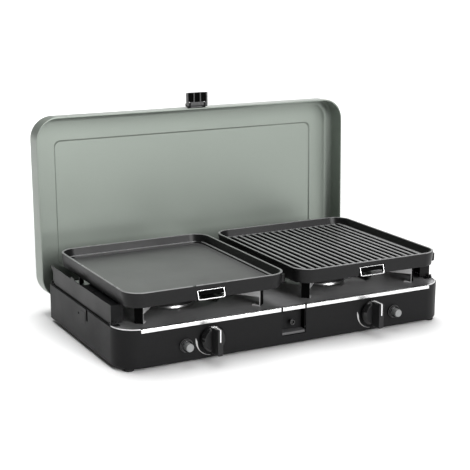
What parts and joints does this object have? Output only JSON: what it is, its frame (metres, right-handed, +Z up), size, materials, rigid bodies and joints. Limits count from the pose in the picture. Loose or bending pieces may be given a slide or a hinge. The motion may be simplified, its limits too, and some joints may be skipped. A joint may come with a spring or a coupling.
{
  "type": "camping stove",
  "caption": "Two-burner camping stove with a hinged sage-green lid, flat and ribbed cooking plates, pot supports, gas taps and piezo buttons.",
  "frame": {"origin": "middle of the overall footprint, on the plane that the rubber feet stand on", "axes": "+Z up, +X to the right along the stove, -Y towards the user, where the knobs are"},
  "size_m": [0.606, 0.4176, 0.3698],
  "materials": {
    "black_paint": "satin",
    "hob_steel": "satin",
    "lid_paint": "satin",
    "nonstick": "matte",
    "steel": "satin",
    "support_steel": "satin",
    "burner_steel": "satin",
    "rubber": "matte",
    "brass": "satin",
    "ceramic": "gloss",
    "black_plastic": "matte",
    "grey_plastic": "satin",
    "white_print": "matte"
  },
  "bodies": {
    "base": {"base_case": "black_paint", "hob_tray": "hob_steel", "latch_pocket": "black_paint", "latch_catch": "steel", "foot_front_left": "rubber", "foot_front_right": "rubber", "foot_rear_left": "rubber", "foot_rear_right": "rubber", "gas_pipe": "steel", "gas_inlet": "brass", "valve_body_left": "brass", "injector_left": "brass", "burner_tube_left": "steel", "burner_head_left": "burner_steel", "burner_cap_left": "burner_steel", "electrode_left": "ceramic", "igniter_body_left": "black_plastic", "igniter_bezel_left": "black_plastic", "shield_bracket_front_left": "steel", "shield_bracket_rear_left": "steel", "hinge_bracket_left": "steel", "hinge_pin_left": "steel", "valve_body_right": "brass", "injector_right": "brass", "burner_tube_right": "steel", "burner_head_right": "burner_steel", "burner_cap_right": "burner_steel", "electrode_right": "ceramic", "igniter_body_right": "black_plastic", "igniter_bezel_right": "black_plastic", "shield_bracket_front_right": "steel", "shield_bracket_rear_right": "steel", "hinge_bracket_right": "steel", "hinge_pin_right": "steel", "windshield_left": "black_paint", "windshield_right": "black_paint"},
    "tap_left": {"valve_plug_left": "brass"},
    "knob_left": {"knob_left": "black_plastic", "knob_pointer_left": "white_print", "valve_stem_left": "steel"},
    "button_left": {"igniter_button_left": "grey_plastic"},
    "support_left": {"pot_support_left": "support_steel"},
    "griddle": {"griddle_plate": "nonstick"},
    "bail_left": {"bail_left": "steel"},
    "tap_right": {"valve_plug_right": "brass"},
    "knob_right": {"knob_right": "black_plastic", "knob_pointer_right": "white_print", "valve_stem_right": "steel"},
    "button_right": {"igniter_button_right": "grey_plastic"},
    "support_right": {"pot_support_right": "support_steel"},
    "grill": {"grill_plate": "nonstick"},
    "bail_right": {"bail_right": "steel"},
    "lid": {"lid_shell": "lid_paint", "hinge_arm_left": "steel", "hinge_arm_right": "steel", "latch_bracket": "steel", "latch_pin": "steel"},
    "latch": {"lid_latch": "black_plastic"}
  },
  "joints": [
    {"name": "knob_turn_left", "type": "hinge", "parent": "base", "child": "tap_left", "pos_m": [-0.1478, -0.1775, 0.037], "axis": [0, -1, 0], "range_deg": [0, 180]},
    {"name": "knob_push_left", "type": "slide", "parent": "tap_left", "child": "knob_left", "axis": [0, 1, 0], "range_m": [0, 0.0025], "stiffness_N_per_m": 1200},
    {"name": "igniter_push_left", "type": "slide", "parent": "base", "child": "button_left", "axis": [0, 1, 0], "range_m": [0, 0.005], "stiffness_N_per_m": 600},
    {"name": "support_lift_left", "type": "slide", "parent": "base", "child": "support_left", "axis": [0, 0, 1], "range_m": [0, 0.02]},
    {"name": "griddle_lift", "type": "slide", "parent": "support_left", "child": "griddle", "axis": [0, 0, 1], "range_m": [0, 0.04]},
    {"name": "bail_swing_left", "type": "hinge", "parent": "griddle", "child": "bail_left", "pos_m": [-0.1478, -0.1753, 0.1145], "axis": [-1, 0, 0], "range_deg": [0, 70]},
    {"name": "knob_turn_right", "type": "hinge", "parent": "base", "child": "tap_right", "pos_m": [0.1478, -0.1775, 0.037], "axis": [0, -1, 0], "range_deg": [0, 180]},
    {"name": "knob_push_right", "type": "slide", "parent": "tap_right", "child": "knob_right", "axis": [0, 1, 0], "range_m": [0, 0.0025], "stiffness_N_per_m": 1200},
    {"name": "igniter_push_right", "type": "slide", "parent": "base", "child": "button_right", "axis": [0, 1, 0], "range_m": [0, 0.005], "stiffness_N_per_m": 600},
    {"name": "support_lift_right", "type": "slide", "parent": "base", "child": "support_right", "axis": [0, 0, 1], "range_m": [0, 0.02]},
    {"name": "grill_lift", "type": "slide", "parent": "support_right", "child": "grill", "axis": [0, 0, 1], "range_m": [0, 0.04]},
    {"name": "bail_swing_right", "type": "hinge", "parent": "grill", "child": "bail_right", "pos_m": [0.1478, -0.1753, 0.1145], "axis": [-1, 0, 0], "range_deg": [0, 70]},
    {"name": "lid_hinge", "type": "hinge", "parent": "base", "child": "lid", "pos_m": [0, 0.126, 0.0383], "axis": [-1, 0, 0], "range_deg": [-50, 0]},
    {"name": "latch_hinge", "type": "hinge", "parent": "lid", "child": "latch", "pos_m": [0, 0.17186, 0.34818], "axis": [1, 0, 0], "range_deg": [0, 85]}
  ]
}
